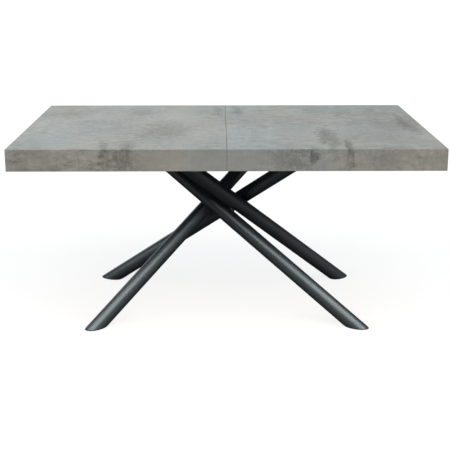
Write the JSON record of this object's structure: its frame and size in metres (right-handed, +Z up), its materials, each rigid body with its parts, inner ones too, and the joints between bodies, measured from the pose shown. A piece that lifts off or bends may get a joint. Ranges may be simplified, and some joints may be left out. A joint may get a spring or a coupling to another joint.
{
  "type": "extendable dining table",
  "caption": "Rectangular dining table whose halves slide apart on telescopic guides for stored spare leaves, on a base of crossed steel tubes.",
  "frame": {"origin": "on the floor under the middle of the closed table top", "axes": "+X along the table's length, the way the halves slide apart; -Y the front; +Z up"},
  "size_m": [1.6, 0.9, 0.77],
  "materials": {
    "concrete_decor": "matte concrete-effect melamine on particle board",
    "graphite_paint": "satin graphite powder coat on steel",
    "guide_aluminium": "satin extruded aluminium",
    "zinc_steel": "zinc-plated steel",
    "black_plastic": "matte moulded nylon"
  },
  "bodies": {
    "base": {"crossing_bolt_front": "graphite_paint", "crossing_bolt_left": "graphite_paint", "crossing_bolt_rear": "graphite_paint", "crossing_bolt_right": "graphite_paint", "extension_leaf_lower": "concrete_decor", "extension_leaf_upper": "concrete_decor", "foot_glide_front_left": "black_plastic", "foot_glide_front_right": "black_plastic", "foot_glide_rear_left": "black_plastic", "foot_glide_rear_right": "black_plastic", "guide_rail_front": "guide_aluminium", "guide_rail_rear": "guide_aluminium", "leg_bolt_front_left_1": "zinc_steel", "leg_bolt_front_left_2": "zinc_steel", "leg_bolt_front_right_1": "zinc_steel", "leg_bolt_front_right_2": "zinc_steel", "leg_bolt_rear_left_1": "zinc_steel", "leg_bolt_rear_left_2": "zinc_steel", "leg_bolt_rear_right_1": "zinc_steel", "leg_bolt_rear_right_2": "zinc_steel", "leg_flange_front_left": "graphite_paint", "leg_flange_front_right": "graphite_paint", "leg_flange_rear_left": "graphite_paint", "leg_flange_rear_right": "graphite_paint", "leg_tube_front_left": "graphite_paint", "leg_tube_front_right": "graphite_paint", "leg_tube_rear_left": "graphite_paint", "leg_tube_rear_right": "graphite_paint", "mounting_plate_left": "graphite_paint", "mounting_plate_right": "graphite_paint", "rail_bolt_left_front": "zinc_steel", "rail_bolt_left_rear": "zinc_steel", "rail_bolt_right_front": "zinc_steel", "rail_bolt_right_rear": "zinc_steel", "runner_stop_front": "black_plastic", "runner_stop_rear": "black_plastic"},
    "left_half": {"alignment_pin_front": "zinc_steel", "alignment_pin_rear": "zinc_steel", "end_edge_left": "concrete_decor", "front_edge_left": "concrete_decor", "latch_pivot_front": "zinc_steel", "latch_pivot_rear": "zinc_steel", "rear_edge_left": "concrete_decor", "top_panel_left": "concrete_decor", "top_rail_left_front": "guide_aluminium", "top_rail_left_rear": "guide_aluminium"},
    "right_half": {"end_edge_right": "concrete_decor", "front_edge_right": "concrete_decor", "latch_keeper_front": "zinc_steel", "latch_keeper_rear": "zinc_steel", "rear_edge_right": "concrete_decor", "top_panel_right": "concrete_decor", "top_rail_right_front": "guide_aluminium", "top_rail_right_rear": "guide_aluminium"},
    "latch_lever_front": {"latch_lever_front": "black_plastic"},
    "latch_lever_rear": {"latch_lever_rear": "black_plastic"},
    "runner_left_front": {"runner_left_front": "guide_aluminium"},
    "runner_left_rear": {"runner_left_rear": "guide_aluminium"},
    "runner_right_front": {"runner_right_front": "guide_aluminium"},
    "runner_right_rear": {"runner_right_rear": "guide_aluminium"}
  },
  "joints": [
    {"name": "left_half_slide", "type": "slide", "parent": "base", "child": "left_half", "axis": [-1, 0, 0], "range_m": [0, 0.52]},
    {"name": "right_half_slide", "type": "slide", "parent": "base", "child": "right_half", "axis": [1, 0, 0], "range_m": [0, 0.52]},
    {"name": "runner_left_front_slide", "type": "slide", "parent": "base", "child": "runner_left_front", "axis": [-1, 0, 0], "range_m": [0, 0.26]},
    {"name": "runner_left_rear_slide", "type": "slide", "parent": "base", "child": "runner_left_rear", "axis": [-1, 0, 0], "range_m": [0, 0.26]},
    {"name": "runner_right_front_slide", "type": "slide", "parent": "base", "child": "runner_right_front", "axis": [1, 0, 0], "range_m": [0, 0.26]},
    {"name": "runner_right_rear_slide", "type": "slide", "parent": "base", "child": "runner_right_rear", "axis": [1, 0, 0], "range_m": [0, 0.26]},
    {"name": "latch_front_turn", "type": "hinge", "parent": "left_half", "child": "latch_lever_front", "pos_m": [-0.025, -0.4, 0.742], "axis": [0, 0, -1], "range_deg": [0, 90]},
    {"name": "latch_rear_turn", "type": "hinge", "parent": "left_half", "child": "latch_lever_rear", "pos_m": [-0.025, 0.4, 0.742], "axis": [0, 0, 1], "range_deg": [0, 90]}
  ],
  "couplings": [
    {"joint": "runner_left_front_slide", "follows": "left_half_slide", "ratio": 0.5},
    {"joint": "runner_left_rear_slide", "follows": "left_half_slide", "ratio": 0.5},
    {"joint": "runner_right_front_slide", "follows": "right_half_slide", "ratio": 0.5},
    {"joint": "runner_right_rear_slide", "follows": "right_half_slide", "ratio": 0.5}
  ]
}
